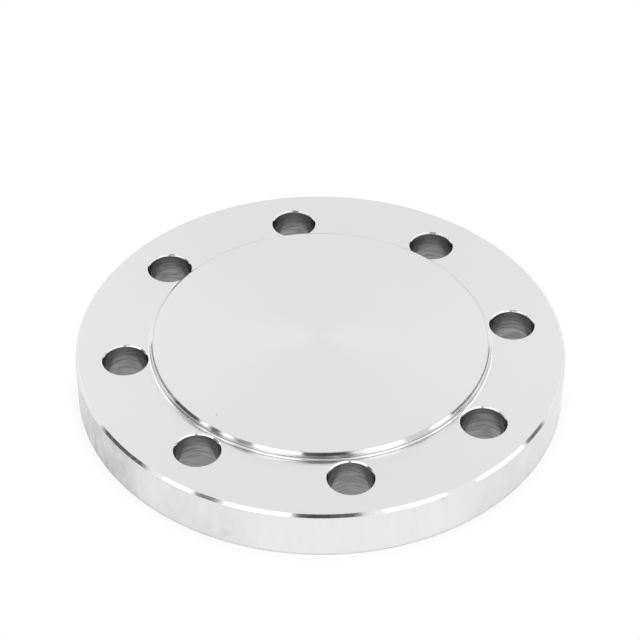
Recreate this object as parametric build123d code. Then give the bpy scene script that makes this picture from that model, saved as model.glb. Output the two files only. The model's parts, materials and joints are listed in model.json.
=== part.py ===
from build123d import *
import os

# Blind flange: one forged steel disc, turned all over and drilled through.
# The origin is the centre of the back face, and +Z points out of the raised face.

# Bolt holes, in millimetres, evenly spaced and straddling the X and Y centre lines
bolt_circle_diameter = 160.0
bolt_hole_count = 8
bolt_hole_diameter = 18.0
bolt_hole_chamfer = 0.45

# Disc, whose rim stands clear of the bolt holes by a land of solid metal
rim_land = 11.0
flange_diameter = bolt_circle_diameter + bolt_hole_diameter + 2 * rim_land
ring_thickness = 21.0
rim_chamfer = 1.1
back_edge_chamfer = 0.3

# Raised face that the gasket seats on
raised_face_diameter = 139.2
raised_face_height = 3.0
raised_face_chamfer = 1.0
root_radius = 0.8

# How far a cutting tool runs past the faces that it cuts through
tool_run_out = 2.0


def turned_blank():
    """The disc as it leaves the lathe: half of its section, revolved about Z."""
    rim = flange_diameter / 2
    shoulder = raised_face_diameter / 2
    top = ring_thickness + raised_face_height
    # The root arc is never taller than the upright wall under the chamfer.
    root = min(root_radius, raised_face_height - raised_face_chamfer)
    with BuildPart() as blank:
        with BuildSketch(Plane.XZ):
            with BuildLine():
                # Back face, rim with both of its edges chamfered, and the ring's front face
                Polyline(
                    (0, 0),
                    (rim - back_edge_chamfer, 0),
                    (rim, back_edge_chamfer),
                    (rim, ring_thickness - rim_chamfer),
                    (rim - rim_chamfer, ring_thickness),
                    (shoulder + root, ring_thickness),
                )
                # Hollow arc where the tool's nose turned up into the shoulder
                CenterArc((shoulder + root, ring_thickness + root), root, 180, 90)
                # Shoulder, its chamfered edge, the raised face and the axis
                if ring_thickness + root < top - raised_face_chamfer:
                    Line((shoulder, ring_thickness + root), (shoulder, top - raised_face_chamfer))
                Polyline(
                    (shoulder, top - raised_face_chamfer),
                    (shoulder - raised_face_chamfer, top),
                    (0, top),
                    (0, 0),
                )
            make_face()
        revolve(axis=Axis.Z)
    return blank.part


def bolt_hole_tool():
    """Drill and deburring cutter in one: a straight bore with a chamfer at each mouth.

    It runs on above the ring's face as wide as the mouth, so that a root arc that
    reached a hole would be cut away too.
    """
    bore = bolt_hole_diameter / 2
    mouth = bore + bolt_hole_chamfer
    above = ring_thickness + raised_face_height + tool_run_out
    with BuildPart() as tool:
        with BuildSketch(Plane.XZ):
            with BuildLine():
                Polyline(
                    (0, -tool_run_out),
                    (mouth, -tool_run_out),
                    (mouth, 0),
                    (bore, bolt_hole_chamfer),
                    (bore, ring_thickness - bolt_hole_chamfer),
                    (mouth, ring_thickness),
                    (mouth, above),
                    (0, above),
                    close=True,
                )
            make_face()
        revolve(axis=Axis.Z)
    return tool.part


def blind_flange():
    """The turned disc with its ring of bolt holes drilled."""
    half_pitch = 360 / bolt_hole_count / 2
    tool = bolt_hole_tool()
    with BuildPart() as flange:
        add(turned_blank())
        with PolarLocations(bolt_circle_diameter / 2, bolt_hole_count, start_angle=half_pitch):
            add(tool, mode=Mode.SUBTRACT)
    return flange.part


os.makedirs("parts", exist_ok=True)
export_step(blind_flange(), "parts/blind_flange.step")
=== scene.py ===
"""A raised-face blind flange of turned stainless steel, on a pale studio floor."""

import json
import math
from functools import partial

import bpy
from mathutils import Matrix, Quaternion, Vector


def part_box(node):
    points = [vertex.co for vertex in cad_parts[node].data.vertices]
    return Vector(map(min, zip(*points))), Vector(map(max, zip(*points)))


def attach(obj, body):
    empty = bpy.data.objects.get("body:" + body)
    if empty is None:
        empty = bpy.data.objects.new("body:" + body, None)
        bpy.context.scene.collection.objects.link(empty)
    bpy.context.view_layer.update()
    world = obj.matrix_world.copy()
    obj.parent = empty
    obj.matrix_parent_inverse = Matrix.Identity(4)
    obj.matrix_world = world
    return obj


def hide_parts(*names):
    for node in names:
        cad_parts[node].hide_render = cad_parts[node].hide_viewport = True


bl_info = {
    "name": "Blind flange",
    "version": (1, 0, 0),
    "blender": (4, 5, 0),
    "location": "View3D > Sidebar > Blind flange",
    "description": "Builds a turned and drilled blind flange and the studio that it is shown in",
    "category": "Object",
}

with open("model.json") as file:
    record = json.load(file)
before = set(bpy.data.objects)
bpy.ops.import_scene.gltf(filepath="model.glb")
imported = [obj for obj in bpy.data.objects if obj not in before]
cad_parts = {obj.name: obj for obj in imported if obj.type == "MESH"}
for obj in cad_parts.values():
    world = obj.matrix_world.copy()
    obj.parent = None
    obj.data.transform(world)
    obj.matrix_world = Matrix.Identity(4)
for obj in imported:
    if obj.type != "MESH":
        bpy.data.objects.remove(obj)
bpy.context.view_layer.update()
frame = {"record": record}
NODE = "blind_flange"
BOLT_PATTERN = next(m for m in frame["record"]["mounts"] if m["kind"] == "bolt_pattern")
LOW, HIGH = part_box(NODE)
MM = 0.001

# Steps round the disc and round each hole, fine enough that no outline or highlight shows a corner
RIM_SEGMENTS = 720
HOLE_SEGMENTS = 128
ROOT_STEPS = 20
EDGE_BREAK_STEPS = 3
# Edges that turn by more than this are sharp, and the rest are smooth
CREASE = math.radians(30)
# Points of a revolved shape that are closer together than this are one
MERGE_DISTANCE = 0.0005 * MM
# How far the drill runs on past the faces that it cuts through
DRILL_RUN_OUT = 2.0 * MM
# How deep the edge of a front mouth is broken, as a share of the edge break's width
FLARE_DEPTH = 0.4
# The size of a normal's Z above which a face is flat, and the one below which it is upright
FLAT = 0.9999
UPRIGHT = 0.02
# The rim is what lies within this of the outside radius
RIM_BAND = 0.3 * MM

# What the node tree works out from FlangeSizes and from the faces' places and normals: each
# value's name, the value or number that it starts from, what is done to that, and with what
WORKED_OUT = (
    ("ring_height", "total_thickness", "SUBTRACT", "raised_face_height"),
    ("rim_radius", "flange_diameter", "DIVIDE", 2.0),
    ("rim_chamfer_radius", "rim_radius", "SUBTRACT", "rim_chamfer"),
    ("rim_chamfer_height", "ring_height", "SUBTRACT", "rim_chamfer"),
    ("back_radius", "rim_radius", "SUBTRACT", "back_edge_chamfer"),
    # The raised face's chamfer and its crown
    ("shoulder_radius", "raised_face_diameter", "DIVIDE", 2.0),
    ("sealing_radius", "shoulder_radius", "SUBTRACT", "raised_face_chamfer"),
    ("chamfer_slope", "raised_face_chamfer_tilt", "TANGENT", None),
    ("chamfer_drop", "raised_face_chamfer", "MULTIPLY", "chamfer_slope"),
    ("chamfer_foot", "total_thickness", "SUBTRACT", "chamfer_drop"),
    ("half_chamfer", "raised_face_chamfer", "DIVIDE", 2.0),
    ("crown_radius", "shoulder_radius", "SUBTRACT", "half_chamfer"),
    ("half_drop", "chamfer_drop", "DIVIDE", 2.0),
    ("uncrowned_height", "total_thickness", "SUBTRACT", "half_drop"),
    ("crown_height", "uncrowned_height", "ADD", "raised_face_chamfer_crown"),
    # The bolt holes
    ("circle_radius", "bolt_circle_diameter", "DIVIDE", 2.0),
    ("half_pitch", math.pi, "DIVIDE", "bolt_hole_count"),
    ("bore_radius", "bolt_hole_diameter", "DIVIDE", 2.0),
    ("mouth_radius", "bore_radius", "ADD", "bolt_hole_chamfer"),
    ("countersink_slope", "bolt_hole_chamfer_tilt", "TANGENT", None),
    ("countersink", "bolt_hole_chamfer", "MULTIPLY", "countersink_slope"),
    ("countersink_foot", "ring_height", "SUBTRACT", "countersink"),
    ("flare_radius", "mouth_radius", "ADD", "edge_break"),
    ("flare_depth", "edge_break", "MULTIPLY", FLARE_DEPTH),
    ("flare_foot", "ring_height", "SUBTRACT", "flare_depth"),
    ("drill_top", "total_thickness", "ADD", DRILL_RUN_OUT),
    # Which faces are which: 1 on them and 0 on the others
    ("flat", "level", "GREATER_THAN", FLAT),
    ("raised", "from_axis", "LESS_THAN", "shoulder_radius"),
    ("sealing_face", "flat", "MULTIPLY", "raised"),
    ("upright", "level", "LESS_THAN", UPRIGHT),
    ("rim_start", "rim_radius", "SUBTRACT", RIM_BAND),
    ("outside", "from_axis", "GREATER_THAN", "rim_start"),
    ("rim_face", "upright", "MULTIPLY", "outside"),
    ("bore_face", "upright", "MULTIPLY", "drilled"),
)

# What stands round the studio and is mirrored in the steel, placed by the surfaces that show it
# from the camera's side: the directions that those face, in degrees to the right of the camera,
# their tilts from level, and how bright it is against the plain white of the rest. A later one
# stands in front of an earlier one.
STUDIO_PANELS = {
    "backdrop on the left": ((-117, -63), (5, 23), 1.13),
    "backdrop on the right": ((63, 117), (5, 23), 1.1),
    "bright wall on the left": ((-84, -56), (16, 33), 1.7),
    "bright wall on the right": ((56, 84), (16, 33), 1.6),
    "outer left softbox": ((-43.7, -29.5), (26, 45.4), 1.35),
    "foot of the outer left softbox": ((-38.2, -30), (45.4, 51.5), 1.6),
    "inner left softbox": ((-21.7, -6.3), (26, 51), 1.8),
    "inner right softbox": ((15.3, 29.3), (26, 53), 1.8),
    "gap in the right softbox": ((28.7, 40), (28, 45.4), 0.72),
    "outer right softbox": ((40, 49.3), (28, 45.4), 1.4),
    "foot of the outer right softbox": ((39, 54.2), (45.6, 51.5), 1.6),
    "camera": ((-5.8, 10.5), (35, 45.4), 0.05),
    "camera's tripod": ((-5.7, 9.5), (45.4, 49.8), 0.05),
    "photographer": ((-13, 3), (49.8, 56), 0.0),
    "light stand": ((-29.7, -22.7), (34, 45.4), 0.3),
    "foot of the light stand": ((-29.4, -23.3), (45.4, 51), 0.2),
    "lamp": ((-39.5, -34.7), (36, 45.4), 0.0),
    "doorway on the left": ((-57.5, -43.7), (36.5, 45.4), 0.07),
    "foot of the doorway on the left": ((-59.8, -43.5), (45.6, 51), 0.08),
    "dark wall on the left": ((-70, -57.5), (37.5, 43.2), 0.14),
    "dark corner on the left": ((-86, -70), (38, 42.8), 0.06),
    "doorway on the right": ((49.3, 62), (36.5, 43.2), 0.14),
    "foot of the doorway on the right": ((55.5, 63), (45.6, 51), 0.1),
    "dark corner on the right": ((62, 86), (38, 42.4), 0.08),
    "low lamps on the left": ((-40, -1), (56.8, 61), 1.65),
    "low lamps on the right": ((7, 56), (56.8, 61), 1.65),
    "gap between the low lamps": ((0.5, 5.5), (56.5, 62), 0.25),
    "low cupboard on the left": ((-62, -42), (56, 61), 0.1),
}
# How far a panel fades on either side of its limits, in degrees
PANEL_EDGE = 0.8

# How the floor changes away from the rim: the distances out from it, in mm, between which it
# does, and what it goes from and to
FLOOR_CHANGES = {
    "mirrored beside the flange": (-0.5, 1.5, 0.0, 1.0),
    # Painted light: the floor glows in mirrors down the bolt holes, where little light gets in.
    "painted glow down the bolt holes": (-8, -6, 0.9, 0.1),
    "white to the camera": (0.5, 5, 0.86, 1.0),
}

# Small marks on the flat faces and on the rim: where each is and its radius, in mm from the back
# face's centre, and its strength
FACE_SPECKS = (
    (-0.8, 2.1, 24.0, 0.5, 0.5), (-45.0, 21.3, 24.0, 0.5, 0.6), (-27.8, -56.0, 24.0, 0.55, 0.7),
    (11.6, -35.5, 24.0, 0.45, 0.6), (35.6, -1.3, 24.0, 0.45, 0.5), (44.6, 29.1, 24.0, 0.45, 0.5),
    (-10.1, 47.7, 24.0, 0.4, 0.5), (6.4, -80.9, 21.0, 0.5, 0.5),
)
RIM_NICKS = (
    (87.6, -48.2, 0.4, 1.2, 0.7), (67.3, -74.0, 0.3, 1.1, 1.0), (79.3, -60.9, 0.3, 0.9, 0.7),
    (66.6, -74.6, 19.3, 0.9, 0.9), (57.2, -82.0, 17.6, 0.7, 0.4), (87.0, -49.2, 18.0, 0.9, 0.35),
    (-50.3, -86.4, 11.2, 0.7, 0.4), (-12.5, -99.2, 5.2, 3.0, 0.2), (-80.6, -59.2, 15.5, 2.0, 0.5),
    (-83.0, -55.8, 10.0, 2.2, 0.5), (-77.2, -63.6, 11.3, 1.5, 0.3), (-64.1, -76.7, 9.5, 1.3, 0.35),
    (-61.0, -79.2, 6.7, 1.2, 0.3),
)
# Marks that lie on some sides of the flange only: the film on the rim, darkened by a painted
# reflection of the floor's shadow, and the painted shade lines in the root's corners. Each side is
# its middle, in degrees round from +X, and the marks' strength there. Their reach is how far from
# its middle they start to fade and how far from it they are gone, in degrees.
RIM_FILM_AND_SHADOW_SIDES = (217, 1.0), (246, 0.3), (341, 0.35)
RIM_FILM_AND_SHADOW_REACH = 14, 27
# The painted shade lines in the root's corners lie on the front only.
PAINTED_CORNER_SHADE_SIDE = 282, 1.0
PAINTED_CORNER_SHADE_REACH = 46, 60

# Half the width of a fine painted shade line, and how far such lines lie in from the raised face's
# edge, up from the root's start and in from the root's end
FINE_LINE = 0.3 * MM
PAINTED_EDGE_LINE_INSET = 0.05 * MM
START_LINE_RISE = 0.1 * MM
END_LINE_INSET = 0.12 * MM
# How coarse the fraying of small marks is, and how far it moves their edges at most, both ways
# together
FRAY_SIZE = 0.7 * MM
FRAY_REACH = 2.0 * MM

# Nearly all that a noise texture gives lies between these.
NOISE_LOW = 0.3
NOISE_HIGH = 0.7
# Which output of a Mix node gives its colour
MIXED_COLOUR = 2


def linear(hex_colour):
    """The linear red, green and blue of an sRGB hex colour such as #E2E2E0."""
    shares = [int(hex_colour[i:i + 2], 16) / 255 for i in (1, 3, 5)]
    return tuple(s / 12.92 if s <= 0.04045 else ((s + 0.055) / 1.055) ** 2.4 for s in shares)


def length(name, description, millimetres, lowest=0.0):
    """A size property, whose default and lowest value are given in millimetres."""
    return bpy.props.FloatProperty(
        name=name, description=description, default=millimetres * MM,
        min=lowest * MM, precision=5, unit="LENGTH", subtype="DISTANCE")


def angle(name, description, degrees):
    """An angle property, whose default is given in degrees."""
    return bpy.props.FloatProperty(
        name=name, description=description, default=math.radians(degrees),
        unit="ROTATION", subtype="ANGLE")


def colour(name, description, hex_colour):
    """A colour property, whose default is given as an sRGB hex colour."""
    return bpy.props.FloatVectorProperty(
        name=name, description=description, default=linear(hex_colour),
        min=0.0, max=1.0, size=3, subtype="COLOR")


class FlangeSizes(bpy.types.PropertyGroup):
    """Sizes of the turned disc and its bolt holes."""

    flange_diameter: length("Flange diameter", "Across the rim", (HIGH.x - LOW.x) / MM)
    total_thickness: length("Total thickness", "Back face to raised face", (HIGH.z - LOW.z) / MM)
    rim_chamfer: length("Rim chamfer", "Chamfer round the front edge of the rim", 1.1)
    back_edge_chamfer: length("Back edge chamfer", "Chamfer round the back edge of the rim", 0.3)
    raised_face_diameter: length(
        "Raised face diameter", "Across the upright wall of the shoulder", 139.2)
    raised_face_height: length("Raised face height", "Step up from the ring to the raised face", 3)
    raised_face_chamfer: length(
        "Raised face chamfer", "Width of the chamfer round the raised face", 1.0)
    raised_face_chamfer_tilt: angle("Raised face chamfer tilt", "Slope of that chamfer", 40.0)
    raised_face_chamfer_crown: length(
        "Raised face chamfer crown", "Rise of that chamfer's middle", 0.026)
    root_radius: length("Root radius", "Hollow arc at the foot of the shoulder", 0.8)
    edge_break: length("Edge break", "Tiny round that a file leaves on a cut edge", 0.12)
    foot_break: length("Foot break", "Round that wear leaves at the foot of the rim", 0.3)
    bolt_circle_diameter: length(
        "Bolt circle diameter", "Across the ring of holes", BOLT_PATTERN["dims"]["pcd_mm"])
    bolt_hole_diameter: length(
        "Bolt hole diameter", "Drill size", 2 * BOLT_PATTERN["dims"]["hole_r_mm"])
    bolt_hole_chamfer: length(
        "Bolt hole chamfer", "Width of the chamfer round each mouth of a hole", 0.45)
    bolt_hole_chamfer_tilt: angle(
        "Bolt hole chamfer tilt", "Slope of the front mouths' chamfer", 57.0)
    bolt_hole_count: bpy.props.IntProperty(
        name="Bolt holes", default=BOLT_PATTERN["dims"]["count"], min=3,
        description="Holes, evenly spaced and straddling the X and Y centre lines")


class SteelFinish(bpy.types.PropertyGroup):
    """Colours of the cut surfaces, and of the shade painted on them."""

    sealing: colour("Sealing face", "Raised face, cut on the lathe", "#E1E1E1")
    ring: colour("Ring and back", "The other flat faces, cut on the lathe", "#E0E0E0")
    edges: colour("Turned edges", "Chamfers, shoulder and root, cut with a fine nose", "#E8E8E8")
    # Painted shade: the colour of dark lines painted into the root's corners.
    corner_lines: colour(
        "Painted corner shade", "Fine lines left by the tool where the root starts and ends", "#303030")
    rim: colour("Rim", "Outside of the disc", "#EDEDED")
    # The film on the rim is partly handling marks and partly a painted reflection of the floor's
    # shadow.
    rim_film: colour("Film and painted shadow on the rim", "Handling marks left on some sides of the rim", "#C0C0C0")
    drilled: colour("Drilled steel", "Walls of the bolt holes", "#8C8C8C")
    # Grit colours the specks and nicks, and also the painted shade lines round the raised face and
    # along the rim's foot.
    grit: colour("Grit and painted shade", "Specks, dirt in nicks and the line round the raised face", "#A0A0A0")


class StudioView(bpy.types.PropertyGroup):
    """Where the camera stands, and the floor that the flange lies on."""

    camera_azimuth: angle("Camera azimuth", "Round the flange, to the right of its -Y side", 13.832)
    camera_elevation: angle("Camera elevation", "Above the ring's front face", 40.81)
    camera_roll: angle("Camera roll", "Turn about the line of sight", 0.46)
    camera_distance: length("Camera distance", "From the middle of the ring's front face", 903.5)
    aim_right: length("Aim right", "Aim point to the right of the flange's axis", -0.29, -50.0)
    aim_beyond: length("Aim beyond", "Aim point beyond the flange's axis", 14.02, -50.0)
    lens: bpy.props.FloatProperty(
        name="Lens", description="Focal length on a 36 mm wide sensor", default=124.1, min=1.0,
        unit="CAMERA")
    floor_size: length("Floor size", "Side of the square floor", 3000.0)
    floor_paper: colour("Floor paper", "Matt white paper", "#F2F2F2")


def set_inputs(tree, pairs):
    """Sets or links each socket from its source.

    A source is a value, a socket, or a node, which stands for its first output.
    """
    for socket, source in pairs:
        if isinstance(source, bpy.types.Node):
            source = source.outputs[0]
        if isinstance(source, bpy.types.NodeSocket):
            tree.links.new(source, socket)
        elif source is not None:
            socket.default_value = source


def add_node(tree, kind, *sources, named=None, **settings):
    """Adds a node with its settings.

    Its inputs get their sources in order, and the named ones get theirs by identifier.
    """
    node = tree.nodes.new(kind)
    for name, value in settings.items():
        setattr(node, name, value)
    set_inputs(tree, zip(node.inputs, sources))
    by_identifier = {socket.identifier: socket for socket in node.inputs}
    set_inputs(tree, ((by_identifier[key], source) for key, source in (named or {}).items()))
    return node


def revolved(tree, corners, segments):
    """Adds the nodes that round off a section's corners and revolve it about Z.

    Each corner is its distance from the axis, its height, its rounding radius and the steps of
    that round. The section runs from the axis outwards and down and back to the axis, so that the
    faces point outwards.
    """
    add = partial(add_node, tree)
    path_radius = 1.0 * MM
    line = add("GeometryNodeCurvePrimitiveLine")
    line = add("GeometryNodeResampleCurve", line, None, len(corners))
    index = add("GeometryNodeInputIndex")
    places = [add("ShaderNodeCombineXYZ", across, up) for across, up, _, _ in corners]
    fields = []
    for kind, values in (
        ("VECTOR", places),
        ("FLOAT", [rounding for _, _, rounding, _ in corners]),
        ("INT", [steps for _, _, _, steps in corners]),
    ):
        switch = add("GeometryNodeIndexSwitch", data_type=kind)
        while len(switch.index_switch_items) < len(corners):
            switch.index_switch_items.new()
        set_inputs(tree, zip(switch.inputs, [index, *values]))
        fields.append(switch)
    place, rounding, steps = fields
    section = add("GeometryNodeSetPosition", line, None, place)
    section = add("GeometryNodeFilletCurve", section, steps, rounding, False, mode="POLY")
    # Sweeping lays the section's own Y downwards and counts its X from the path, so both are put
    # right first.
    section = add("GeometryNodeTransform", section, named={
        "Translation": (-path_radius, 0.0, 0.0), "Scale": (1.0, -1.0, 1.0)})
    path = add("GeometryNodeCurvePrimitiveCircle", segments, named={"Radius": path_radius},
               mode="RADIUS")
    path = add("GeometryNodeSetCurveNormal", path, mode="Z_UP")
    turned = add("GeometryNodeCurveToMesh", path, section)
    return add("GeometryNodeMergeByDistance", turned, None, MERGE_DISTANCE)


def flange_tree(materials):
    """Node tree that turns the disc and drills its holes, with FlangeSizes as its inputs."""
    tree = bpy.data.node_groups.new("Turn and drill a blind flange", "GeometryNodeTree")
    add = partial(add_node, tree)
    tree.interface.new_socket(name="Geometry", in_out="OUTPUT", socket_type="NodeSocketGeometry")
    for name in FlangeSizes.__annotations__:
        prop = FlangeSizes.bl_rna.properties[name]
        kind = "NodeSocketInt" if prop.type == "INT" else "NodeSocketFloat"
        socket = tree.interface.new_socket(name=prop.name, in_out="INPUT", socket_type=kind)
        socket.default_value = prop.default

    value = dict(zip(FlangeSizes.__annotations__, add("NodeGroupInput").outputs))
    place = add("ShaderNodeSeparateXYZ", add("GeometryNodeInputPosition"))
    spoke = add("ShaderNodeCombineXYZ", place.outputs["X"], place.outputs["Y"])
    value["from_axis"] = add("ShaderNodeVectorMath", spoke, operation="LENGTH").outputs["Value"]
    facing = add("ShaderNodeSeparateXYZ", add("GeometryNodeInputNormal"))
    value["level"] = add("ShaderNodeMath", facing.outputs["Z"], operation="ABSOLUTE")
    value["drilled"] = add("GeometryNodeInputNamedAttribute", "drilled", data_type="BOOLEAN")
    for name, first, operation, second in WORKED_OUT:
        value[name] = add(
            "ShaderNodeMath", value.get(first, first), value.get(second, second),
            operation=operation)

    broken = value["edge_break"], EDGE_BREAK_STEPS
    sharp = 0.0, 1
    disc = revolved(tree, [
        (0.0, value["total_thickness"], *sharp),
        (value["sealing_radius"], value["total_thickness"], *broken),
        (value["crown_radius"], value["crown_height"], *sharp),
        (value["shoulder_radius"], value["chamfer_foot"], *sharp),
        (value["shoulder_radius"], value["ring_height"], value["root_radius"], ROOT_STEPS),
        (value["rim_chamfer_radius"], value["ring_height"], *broken),
        (value["rim_radius"], value["rim_chamfer_height"], *broken),
        (value["rim_radius"], value["back_edge_chamfer"], value["foot_break"], EDGE_BREAK_STEPS),
        (value["back_radius"], 0.0, *broken),
        (0.0, 0.0, *sharp),
    ], RIM_SEGMENTS)
    # Where the drill leaves the ring's face it flares out, and so breaks the edge of the mouth.
    drill = revolved(tree, [
        (0.0, value["drill_top"], *sharp),
        (value["flare_radius"], value["drill_top"], *sharp),
        (value["flare_radius"], value["ring_height"], *sharp),
        (value["mouth_radius"], value["flare_foot"], *sharp),
        (value["bore_radius"], value["countersink_foot"], *broken),
        (value["bore_radius"], value["bolt_hole_chamfer"], *broken),
        (value["mouth_radius"], 0.0, *sharp),
        (value["mouth_radius"], -DRILL_RUN_OUT, *sharp),
        (0.0, -DRILL_RUN_OUT, *sharp),
    ], HOLE_SEGMENTS)

    # Each drill carries the place of its axis, which the grooves in the bore run round.
    circle = add("GeometryNodeMeshCircle", value["bolt_hole_count"], value["circle_radius"])
    turn = add("ShaderNodeCombineXYZ", 0.0, 0.0, value["half_pitch"])
    circle = add("GeometryNodeTransform", circle, named={"Rotation": turn})
    circle = add("GeometryNodeStoreNamedAttribute", circle, data_type="FLOAT_VECTOR", named={
        "Name": "bore_axis", "Value": add("GeometryNodeInputPosition")})
    drills = add("GeometryNodeInstanceOnPoints", circle, None, drill)
    drills = add("GeometryNodeRealizeInstances", drills)
    axis = add("GeometryNodeInputNamedAttribute", "bore_axis", data_type="FLOAT_VECTOR")
    for name, kind, source in (("bore_axis", "FLOAT_VECTOR", axis), ("drilled", "BOOLEAN", True)):
        drills = add("GeometryNodeStoreNamedAttribute", drills, data_type=kind, domain="FACE",
                     named={"Name": name, "Value": source})

    flange = add("GeometryNodeMeshBoolean", disc, drills, operation="DIFFERENCE", solver="MANIFOLD")
    flange = add("GeometryNodeSetShadeSmooth", flange, None, True, domain="FACE")
    smooth = add("ShaderNodeMath", add("GeometryNodeInputMeshEdgeAngle"), CREASE,
                 operation="LESS_THAN")
    flange = add("GeometryNodeSetShadeSmooth", flange, None, smooth, domain="EDGE")
    flange = add("GeometryNodeRealizeInstances", flange)
    for faces, finish in (
        (None, "edges"),
        ("drilled", "mouths"),
        ("flat", "ring"),
        ("sealing_face", "sealing"),
        ("rim_face", "rim"),
        ("bore_face", "drilled"),
    ):
        flange = add("GeometryNodeSetMaterial", flange, value.get(faces), materials[finish])
    add("NodeGroupOutput", flange)
    return tree


def steel(name):
    """A new steel material: itself, its node tree, its shader node and the flange's coordinates."""
    material = bpy.data.materials.new(name)
    material.use_nodes = True
    tree = material.node_tree
    shader = tree.nodes["Principled BSDF"]
    shader.inputs["Metallic"].default_value = 1.0
    place = add_node(tree, "ShaderNodeTexCoord").outputs["Object"]
    return material, tree, shader, place


def grooves_round(tree, shader, from_centre, anisotropic):
    """Lays the shader's fine grooves in level circles, and gives the spoke out from their centre.

    The more anisotropic the steel is, the further the grooves spread a reflection across them.
    """
    add = partial(add_node, tree)
    spoke = add("ShaderNodeVectorMath", from_centre, (1.0, 1.0, 0.0), operation="MULTIPLY")
    along = add("ShaderNodeVectorMath", (0.0, 0.0, 1.0), spoke, operation="CROSS_PRODUCT")
    set_inputs(tree, [(shader.inputs["Tangent"], along)])
    shader.inputs["Anisotropic"].default_value = anisotropic
    # A quarter turn, because the shader's tangent is the way that it blurs the most, which is
    # across the grooves
    shader.inputs["Anisotropic Rotation"].default_value = 0.25
    return spoke


def spots(tree, place, marks):
    """Adds nodes that rise to each mark's strength in it and are 0 elsewhere, frayed by a noise."""
    add = partial(add_node, tree)
    fray = add("ShaderNodeTexNoise", place, named={"Scale": 1 / FRAY_SIZE, "Detail": 1.0})
    fray = add("ShaderNodeVectorMath", fray.outputs["Color"], (0.5, 0.5, 0.5), operation="SUBTRACT")
    moved = add("ShaderNodeVectorMath", fray, [FRAY_REACH] * 3, place, operation="MULTIPLY_ADD")
    shade = 0.0
    for *middle, radius, strength in marks:
        middle = [part * MM for part in middle]
        away = add("ShaderNodeVectorMath", moved, middle, operation="DISTANCE").outputs["Value"]
        spot = add("ShaderNodeMapRange", away, interpolation_type="SMOOTHSTEP", named={
            "From Min": radius * MM, "From Max": 0.0, "To Max": strength})
        shade = add("ShaderNodeMath", shade, spot, operation="MAXIMUM")
    return shade


def fine_line(tree, distance, where, strength):
    """Adds nodes that rise to the strength in a fine line where the distance is as given."""
    add = partial(add_node, tree)
    off = add("ShaderNodeMath", distance, where, operation="SUBTRACT")
    off = add("ShaderNodeMath", off, operation="ABSOLUTE")
    return add("ShaderNodeMapRange", off, interpolation_type="SMOOTHSTEP", named={
        "From Min": FINE_LINE, "From Max": 0.0, "To Max": strength})


def on_side(tree, spoke, side, reach):
    """Adds nodes that give the side's strength round its middle, and fade to 0 within the reach."""
    add = partial(add_node, tree)
    degrees, strength = side
    middle = math.cos(math.radians(degrees)), math.sin(math.radians(degrees)), 0.0
    full, gone = (math.cos(math.radians(limit)) for limit in reach)
    outwards = add("ShaderNodeVectorMath", spoke, operation="NORMALIZE")
    near = add("ShaderNodeVectorMath", outwards, middle, operation="DOT_PRODUCT").outputs["Value"]
    return add("ShaderNodeMapRange", near, interpolation_type="SMOOTHSTEP", named={
        "From Min": gone, "From Max": full, "To Max": strength})


def scaled(hue, share):
    """The colour made darker or lighter by a share, and opaque."""
    return [share * channel for channel in hue] + [1.0]


def faced_steel(name, hue, finish, sizes, anisotropic):
    """Austenitic stainless steel faced on a lathe: a satin grey.

    Its fine circular grooves spread each reflection out from the axis, so that the light lies on
    it in soft spokes.
    """
    material, tree, shader, place = steel(name)
    add = partial(add_node, tree)
    spoke = grooves_round(tree, shader, place, anisotropic)
    from_axis = add("ShaderNodeVectorMath", spoke, operation="LENGTH").outputs["Value"]
    # The feed marks are 0.15 mm apart on the real face and drawn in bands about 1.5 mm wide, so
    # that they show.
    bands = add("ShaderNodeTexNoise", noise_dimensions="1D", named={
        "W": from_axis, "Scale": 1 / (1.5 * MM), "Detail": 3.0, "Roughness": 0.6})
    # Cloudiness of the surface, in patches about 25 mm wide
    cloud = add("ShaderNodeTexNoise", place, named={"Scale": 1 / (25 * MM), "Detail": 3.0})
    shade = add("ShaderNodeMix", named={"Factor_Float": 0.6, "A_Float": bands, "B_Float": cloud})
    tone = add("ShaderNodeMix", data_type="RGBA", named={
        "Factor_Float": shade, "A_Color": scaled(hue, 0.975), "B_Color": scaled(hue, 1.025)})
    # A fine line of painted shade close round the raised face's edge, fainter in patches
    edge = sizes.raised_face_diameter / 2 - sizes.raised_face_chamfer - PAINTED_EDGE_LINE_INSET
    faint = add("ShaderNodeMapRange", cloud, named={
        "From Min": 0.4, "From Max": 0.6, "To Min": 0.2})
    line = fine_line(tree, from_axis, edge, strength=1.0)
    line = add("ShaderNodeMath", line, faint, operation="MULTIPLY")
    # Specks, the dimple where the tool's feed ended on the axis, and the painted shade line
    marks = add("ShaderNodeMath", spots(tree, place, FACE_SPECKS), line, operation="MAXIMUM")
    tone = add("ShaderNodeMix", data_type="RGBA", named={
        "Factor_Float": marks, "A_Color": tone.outputs[MIXED_COLOUR],
        "B_Color": scaled(finish.grit, 1.0)})
    rough = add("ShaderNodeMapRange", bands, named={
        "From Min": NOISE_LOW, "From Max": NOISE_HIGH, "To Min": 0.24, "To Max": 0.27})
    set_inputs(tree, [
        (shader.inputs["Base Color"], tone.outputs[MIXED_COLOUR]),
        (shader.inputs["Roughness"], rough)])
    return material


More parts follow.
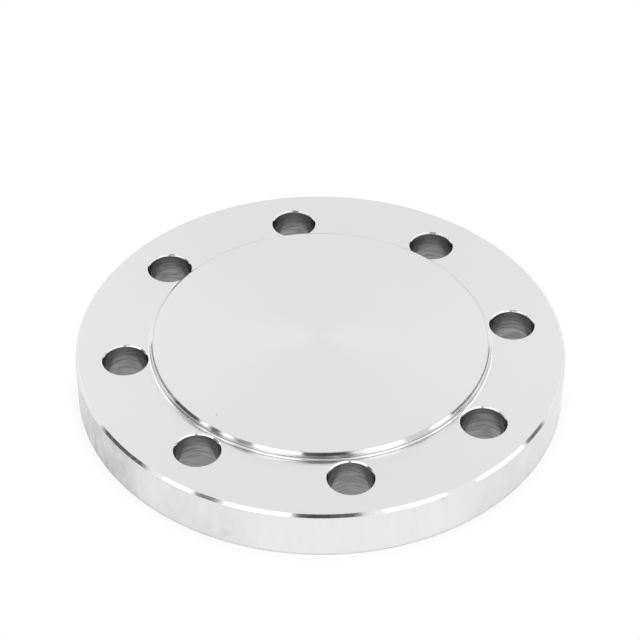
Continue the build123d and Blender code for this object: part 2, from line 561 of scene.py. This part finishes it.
def turned_edge_steel(finish, sizes):
    """Stainless steel cut with a round-nosed tool at a fine feed: nearly a mirror along the cut.

    The chamfers and the root show the studio as crisp light and dark lengths.
    """
    material, tree, shader, place = steel("Stainless steel, finish-turned edge")
    add = partial(add_node, tree)
    spoke = grooves_round(tree, shader, place, anisotropic=0.6)
    # Chatter of the tool, in marks about 2 mm apart along the edge
    chatter = add("ShaderNodeTexNoise", place, named={"Scale": 1 / (2 * MM), "Detail": 2.0})
    rough = add("ShaderNodeMapRange", chatter, named={
        "From Min": NOISE_LOW, "From Max": NOISE_HIGH, "To Min": 0.11, "To Max": 0.16})
    tone = add("ShaderNodeMix", data_type="RGBA", named={
        "Factor_Float": chatter, "A_Color": scaled(finish.edges, 0.94),
        "B_Color": scaled(finish.edges, 1.06)})
    # Painted shade: fine dark lines where the root starts on the wall and ends on the ring,
    # standing for the shade in small steps that the corners of the tool leave there, and faded away
    # from the front
    height = add("ShaderNodeSeparateXYZ", place).outputs["Z"]
    from_axis = add("ShaderNodeVectorMath", spoke, operation="LENGTH").outputs["Value"]
    ring = sizes.total_thickness - sizes.raised_face_height
    start = ring + sizes.root_radius + START_LINE_RISE
    end = sizes.raised_face_diameter / 2 + sizes.root_radius - END_LINE_INSET
    painted_shade_lines = add("ShaderNodeMath", fine_line(tree, height, start, strength=1.3),
                fine_line(tree, from_axis, end, strength=1.3), operation="MAXIMUM")
    painted_shade_lines = add("ShaderNodeMath", painted_shade_lines, chatter, operation="MULTIPLY")
    front = on_side(tree, spoke, PAINTED_CORNER_SHADE_SIDE, PAINTED_CORNER_SHADE_REACH)
    painted_shade_lines = add("ShaderNodeMath", painted_shade_lines, front, operation="MULTIPLY")
    tone = add("ShaderNodeMix", data_type="RGBA", named={
        "Factor_Float": painted_shade_lines, "A_Color": tone.outputs[MIXED_COLOUR],
        "B_Color": scaled(finish.corner_lines, 1.0)})
    set_inputs(tree, [
        (shader.inputs["Base Color"], tone.outputs[MIXED_COLOUR]),
        (shader.inputs["Roughness"], rough)])
    return material


def turned_rim_steel(finish):
    """Stainless steel turned on the outside of the disc: satin, with grooves running round it.

    It has faint upright streaks, and on some sides a dull mottled film where it was handled, with a
    painted reflection of the floor's shadow darkening it further, most of all low on the rim.
    """
    material, tree, shader, place = steel("Stainless steel, turned rim")
    add = partial(add_node, tree)
    spoke = grooves_round(tree, shader, place, anisotropic=0.6)
    # Streaks about 3 mm wide that run down the rim
    drawn_out = add("ShaderNodeVectorMath", place, (1.0, 1.0, 0.15), operation="MULTIPLY")
    streaks = add("ShaderNodeTexNoise", drawn_out, named={"Scale": 1 / (3 * MM), "Detail": 3.0})
    tone = add("ShaderNodeMix", data_type="RGBA", named={
        "Factor_Float": streaks, "A_Color": scaled(finish.rim, 0.97),
        "B_Color": scaled(finish.rim, 1.03)})
    # The film and the painted shadow lie in blots about 4 mm wide, drawn out upwards, and are
    # thickest low on the rim.
    film_and_mirrored_shadow = 0.0
    for side in RIM_FILM_AND_SHADOW_SIDES:
        film_and_mirrored_shadow = add("ShaderNodeMath", film_and_mirrored_shadow, on_side(tree, spoke, side, RIM_FILM_AND_SHADOW_REACH),
                   operation="MAXIMUM")
    drawn_out = add("ShaderNodeVectorMath", place, (1.0, 1.0, 0.45), operation="MULTIPLY")
    blots = add("ShaderNodeTexNoise", drawn_out, named={
        "Scale": 1 / (4 * MM), "Detail": 4.0, "Roughness": 0.6})
    blots = add("ShaderNodeMapRange", blots, named={
        "From Min": NOISE_LOW, "From Max": NOISE_HIGH, "To Min": 0.4, "To Max": 1.0})
    height = add("ShaderNodeSeparateXYZ", place).outputs["Z"]
    low = add("ShaderNodeMapRange", height, named={
        "From Min": 3 * MM, "From Max": 15 * MM, "To Min": 1.1, "To Max": 0.8})
    for share in (blots, low):
        film_and_mirrored_shadow = add("ShaderNodeMath", film_and_mirrored_shadow, share, operation="MULTIPLY")
    tone = add("ShaderNodeMix", data_type="RGBA", named={
        "Factor_Float": film_and_mirrored_shadow, "A_Color": tone.outputs[MIXED_COLOUR],
        "B_Color": scaled(finish.rim_film, 1.0)})
    # Nicks in the edges, with dirt in them, and a broken line of painted shade along the foot of
    # the rim, where it stands on the floor
    painted_foot_shade = add("ShaderNodeMapRange", height, interpolation_type="SMOOTHSTEP", named={
        "From Min": 1.1 * MM, "From Max": 0.3 * MM, "To Max": 0.85})
    painted_foot_shade = add("ShaderNodeMath", painted_foot_shade, streaks, operation="MULTIPLY")
    marks = add("ShaderNodeMath", spots(tree, place, RIM_NICKS), painted_foot_shade, operation="MAXIMUM")
    tone = add("ShaderNodeMix", data_type="RGBA", named={
        "Factor_Float": marks, "A_Color": tone.outputs[MIXED_COLOUR],
        "B_Color": scaled(finish.grit, 1.0)})
    rough = add("ShaderNodeMapRange", film_and_mirrored_shadow, named={"To Min": 0.3, "To Max": 0.42})
    set_inputs(tree, [
        (shader.inputs["Base Color"], tone.outputs[MIXED_COLOUR]),
        (shader.inputs["Roughness"], rough)])
    return material


def drilled_steel(finish):
    """Stainless steel left by a twist drill: darker and duller than the turned faces.

    Torn rings run round the bore at the pitch of the drill's feed.
    """
    material, tree, shader, place = steel("Stainless steel, drilled bore")
    add = partial(add_node, tree)
    axis = add("ShaderNodeAttribute", attribute_name="bore_axis").outputs["Vector"]
    from_centre = add("ShaderNodeVectorMath", place, axis, operation="SUBTRACT")
    grooves_round(tree, shader, from_centre, anisotropic=0.5)
    # Rings 0.2 mm apart on the real bore, drawn about 1 mm wide so that they show, and broken up
    # along their way
    squashed = add("ShaderNodeVectorMath", place, (0.12, 0.12, 1.0), operation="MULTIPLY")
    rings = add("ShaderNodeTexNoise", squashed, named={
        "Scale": 1 / (1.0 * MM), "Detail": 2.0, "Roughness": 0.6, "Distortion": 0.3})
    contrast = add("ShaderNodeMapRange", rings, named={"From Min": 0.35, "From Max": 0.65})
    tone = add("ShaderNodeMix", data_type="RGBA", named={
        "Factor_Float": contrast, "A_Color": scaled(finish.drilled, 0.8),
        "B_Color": scaled(finish.drilled, 1.25)})
    rough = add("ShaderNodeMapRange", rings, named={
        "From Min": NOISE_LOW, "From Max": NOISE_HIGH, "To Min": 0.3, "To Max": 0.2})
    torn = add("ShaderNodeBump", named={"Strength": 0.5, "Distance": 0.05 * MM, "Height": rings})
    set_inputs(tree, [
        (shader.inputs["Base Color"], tone.outputs[MIXED_COLOUR]),
        (shader.inputs["Roughness"], rough),
        (shader.inputs["Normal"], torn)])
    return material


def countersunk_steel(finish):
    """Stainless steel cut by a countersink round the mouths of the holes: bright but uneven.

    It shows the studio softer than the turned edges do.
    """
    material, tree, shader, place = steel("Stainless steel, countersunk mouth")
    add = partial(add_node, tree)
    uneven = add("ShaderNodeTexNoise", place, named={"Scale": 1 / (1.5 * MM), "Detail": 2.0})
    rough = add("ShaderNodeMapRange", uneven, named={
        "From Min": NOISE_LOW, "From Max": NOISE_HIGH, "To Min": 0.12, "To Max": 0.2})
    tone = add("ShaderNodeMix", data_type="RGBA", named={
        "Factor_Float": uneven, "A_Color": scaled(finish.edges, 0.96),
        "B_Color": scaled(finish.edges, 1.04)})
    set_inputs(tree, [
        (shader.inputs["Base Color"], tone.outputs[MIXED_COLOUR]),
        (shader.inputs["Roughness"], rough)])
    return material


def floor_paper(view, flange_radius):
    """Matt white paper: it shows as the backdrop's plain white, a little greyer close to the rim.

    The steel mirrors it glowing white beside the flange, and down the bolt holes as painted light;
    under the rim and at its foot the glow is mostly left out, so there it shows its own shade.
    """
    material = bpy.data.materials.new("Matt white paper")
    material.use_nodes = True
    tree = material.node_tree
    tree.nodes.clear()
    add = partial(add_node, tree)
    place = add("ShaderNodeTexCoord").outputs["Object"]
    from_axis = add("ShaderNodeVectorMath", place, operation="LENGTH").outputs["Value"]
    beside, painted_glow_down_the_holes, white = (
        add("ShaderNodeMapRange", from_axis, interpolation_type="SMOOTHSTEP", named={
            "From Min": flange_radius + first * MM, "From Max": flange_radius + last * MM,
            "To Min": before, "To Max": after})
        for first, last, before, after in FLOOR_CHANGES.values())

    # In mirrors the floor glows white beside the flange and, as painted light, down the bolt holes;
    # where the rim stands on it the glow is mostly left out, so there it shows its own shade.
    glow_in_mirrors = add("ShaderNodeMath", beside, painted_glow_down_the_holes, operation="MAXIMUM")
    path = add("ShaderNodeLightPath")
    mirrored = add("ShaderNodeMath", path.outputs["Is Glossy Ray"],
                   path.outputs["Is Transmission Ray"], operation="ADD")
    mirrored = add("ShaderNodeMath", mirrored, glow_in_mirrors, operation="MULTIPLY")
    # The camera sees the backdrop's white, and close to the flange some of its shadow as well.
    seen = add("ShaderNodeMath", path.outputs["Is Camera Ray"], white, operation="MULTIPLY")
    glow = add("ShaderNodeMath", seen, mirrored, operation="ADD")
    paper = add("ShaderNodeBsdfDiffuse", (*view.floor_paper, 1.0))
    backdrop = add("ShaderNodeEmission", (1.0, 1.0, 1.0, 1.0), 1.0)
    add("ShaderNodeOutputMaterial", add("ShaderNodeMixShader", glow, paper, backdrop))
    return material


def studio_world(view):
    """White studio with panels that the steel mirrors. The camera sees plain white."""
    world = bpy.data.worlds.new("White studio")
    world.use_nodes = True
    tree = world.node_tree
    tree.nodes.clear()
    add = partial(add_node, tree)

    def between(direction, reach):
        """1 between the two angles of the reach and 0 outside, with a soft edge."""
        first, last = (math.radians(limit) for limit in reach)
        edge = math.radians(PANEL_EDGE)
        off = add("ShaderNodeMath", direction, (first + last) / 2, operation="SUBTRACT")
        off = add("ShaderNodeMath", off, math.pi, -math.pi, operation="WRAP")
        off = add("ShaderNodeMath", off, operation="ABSOLUTE")
        return add("ShaderNodeMapRange", off, interpolation_type="SMOOTHSTEP", named={
            "From Min": (last - first) / 2 + edge, "From Max": (last - first) / 2 - edge})

    # A surface that shows a direction of the studio faces halfway between it and the camera's side.
    way = add("ShaderNodeTexCoord").outputs["Generated"]
    way = add("ShaderNodeVectorRotate", way, rotation_type="Z_AXIS", named={
        "Angle": -view.camera_azimuth})
    camera_side = 0.0, -math.cos(view.camera_elevation), math.sin(view.camera_elevation)
    halfway = add("ShaderNodeVectorMath", way, camera_side, operation="ADD")
    halfway = add("ShaderNodeVectorMath", halfway, operation="NORMALIZE")
    halfway = add("ShaderNodeSeparateXYZ", halfway)
    nearer = add("ShaderNodeMath", halfway.outputs["Y"], -1.0, operation="MULTIPLY")
    facing = add("ShaderNodeMath", halfway.outputs["X"], nearer, operation="ARCTAN2")
    tilt = add("ShaderNodeMath", halfway.outputs["Z"], operation="ARCCOSINE")
    light = 1.0
    for aside, tilts, brightness in STUDIO_PANELS.values():
        panel = add("ShaderNodeMath", between(facing, aside), between(tilt, tilts),
                    operation="MULTIPLY")
        light = add("ShaderNodeMix", panel, named={"A_Float": light, "B_Float": brightness})
    seen = add("ShaderNodeLightPath").outputs["Is Camera Ray"]
    light = add("ShaderNodeMix", seen, named={"A_Float": light, "B_Float": 1.0})
    add("ShaderNodeOutputWorld", add("ShaderNodeBackground", (1.0, 1.0, 1.0, 1.0), light))
    return world


class FLANGE_OT_turn_and_drill(bpy.types.Operator):
    """Turns the flange's disc, drills its bolt holes and gives each cut surface its finish"""

    bl_idname = "flange.turn_and_drill"
    bl_label = "Turn and drill the flange"

    def execute(self, context):
        sizes = context.scene.flange_sizes
        finish = context.scene.steel_finish
        tree = flange_tree({
            "sealing": faced_steel(
                "Stainless steel, faced sealing surface", finish.sealing, finish, sizes,
                anisotropic=0.6),
            "ring": faced_steel(
                "Stainless steel, faced ring and back", finish.ring, finish, sizes,
                anisotropic=0.3),
            "edges": turned_edge_steel(finish, sizes),
            "rim": turned_rim_steel(finish),
            "drilled": drilled_steel(finish),
            "mouths": countersunk_steel(finish),
        })
        piece = bpy.data.objects.new("turned_flange", bpy.data.meshes.new("turned_flange"))
        context.scene.collection.objects.link(piece)
        turning = piece.modifiers.new("Turn and drill", "NODES")
        turning.node_group = tree
        inputs = [item for item in tree.interface.items_tree if item.in_out == "INPUT"]
        for name, item in zip(FlangeSizes.__annotations__, inputs):
            turning[item.identifier] = getattr(sizes, name)
        # Weighted normals keep the flat faces flat right up to the broken edges.
        shading = piece.modifiers.new("Flat faces", "WEIGHTED_NORMAL")
        shading.mode = "FACE_AREA"
        shading.keep_sharp = True
        depsgraph = context.evaluated_depsgraph_get()
        mesh = bpy.data.meshes.new_from_object(
            piece.evaluated_get(depsgraph), preserve_all_data_layers=True, depsgraph=depsgraph)
        if not mesh.polygons:
            raise RuntimeError("The node tree made no flange")
        piece.modifiers.clear()
        piece.data = mesh
        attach(piece, "root")
        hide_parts(NODE)
        return {"FINISHED"}


class FLANGE_OT_set_up_studio(bpy.types.Operator):
    """Lays the paper floor, lights the studio and sets up the camera"""

    bl_idname = "flange.set_up_studio"
    bl_label = "Set up the studio"

    def execute(self, context):
        scene = context.scene
        view = scene.studio_view
        sizes = scene.flange_sizes
        half = view.floor_size / 2
        corners = [(-half, -half, 0), (half, -half, 0), (half, half, 0), (-half, half, 0)]
        mesh = bpy.data.meshes.new("floor")
        mesh.from_pydata(corners, [], [(0, 1, 2, 3)])
        mesh.materials.append(floor_paper(view, sizes.flange_diameter / 2))
        floor = bpy.data.objects.new("floor", mesh)
        scene.collection.objects.link(floor)

        scene.world = studio_world(view)
        scene.view_settings.view_transform = "Standard"

        right = Vector((math.cos(view.camera_azimuth), math.sin(view.camera_azimuth), 0.0))
        beyond = Vector((-right.y, right.x, 0.0))
        up = Vector((0.0, 0.0, 1.0))
        ring = up * (sizes.total_thickness - sizes.raised_face_height)
        sight = up * math.sin(view.camera_elevation) - beyond * math.cos(view.camera_elevation)
        place = ring + sight * view.camera_distance
        aim = ring + right * view.aim_right + beyond * view.aim_beyond
        camera = bpy.data.objects.new("camera", bpy.data.cameras.new("camera"))
        camera.data.lens = view.lens
        camera.location = place
        camera.rotation_mode = "QUATERNION"
        roll = Quaternion((0, 0, 1), view.camera_roll)
        camera.rotation_quaternion = (aim - place).to_track_quat("-Z", "Y") @ roll
        scene.collection.objects.link(camera)
        scene.camera = camera
        return {"FINISHED"}


class FLANGE_PT_sidebar(bpy.types.Panel):
    """Lists the flange's and the studio's settings and what builds them"""

    bl_idname = "FLANGE_PT_sidebar"
    bl_label = "Blind flange"
    bl_space_type = "VIEW_3D"
    bl_region_type = "UI"
    bl_category = "Blind flange"

    def draw(self, context):
        for group, operator in (
            ("flange_sizes", None),
            ("steel_finish", FLANGE_OT_turn_and_drill),
            ("studio_view", FLANGE_OT_set_up_studio),
        ):
            settings = getattr(context.scene, group)
            column = self.layout.column()
            for name in settings.__annotations__:
                column.prop(settings, name)
            if operator:
                column.operator(operator.bl_idname)


SETTINGS = {"flange_sizes": FlangeSizes, "steel_finish": SteelFinish, "studio_view": StudioView}
CLASSES = (
    *SETTINGS.values(), FLANGE_OT_turn_and_drill, FLANGE_OT_set_up_studio, FLANGE_PT_sidebar)


def register():
    for cls in CLASSES:
        bpy.utils.register_class(cls)
    for name, group in SETTINGS.items():
        setattr(bpy.types.Scene, name, bpy.props.PointerProperty(type=group))


def unregister():
    for name in SETTINGS:
        delattr(bpy.types.Scene, name)
    for cls in reversed(CLASSES):
        bpy.utils.unregister_class(cls)


def main():
    register()
    bpy.ops.flange.turn_and_drill()
    bpy.ops.flange.set_up_studio()


if __name__ == "__main__":
    main()
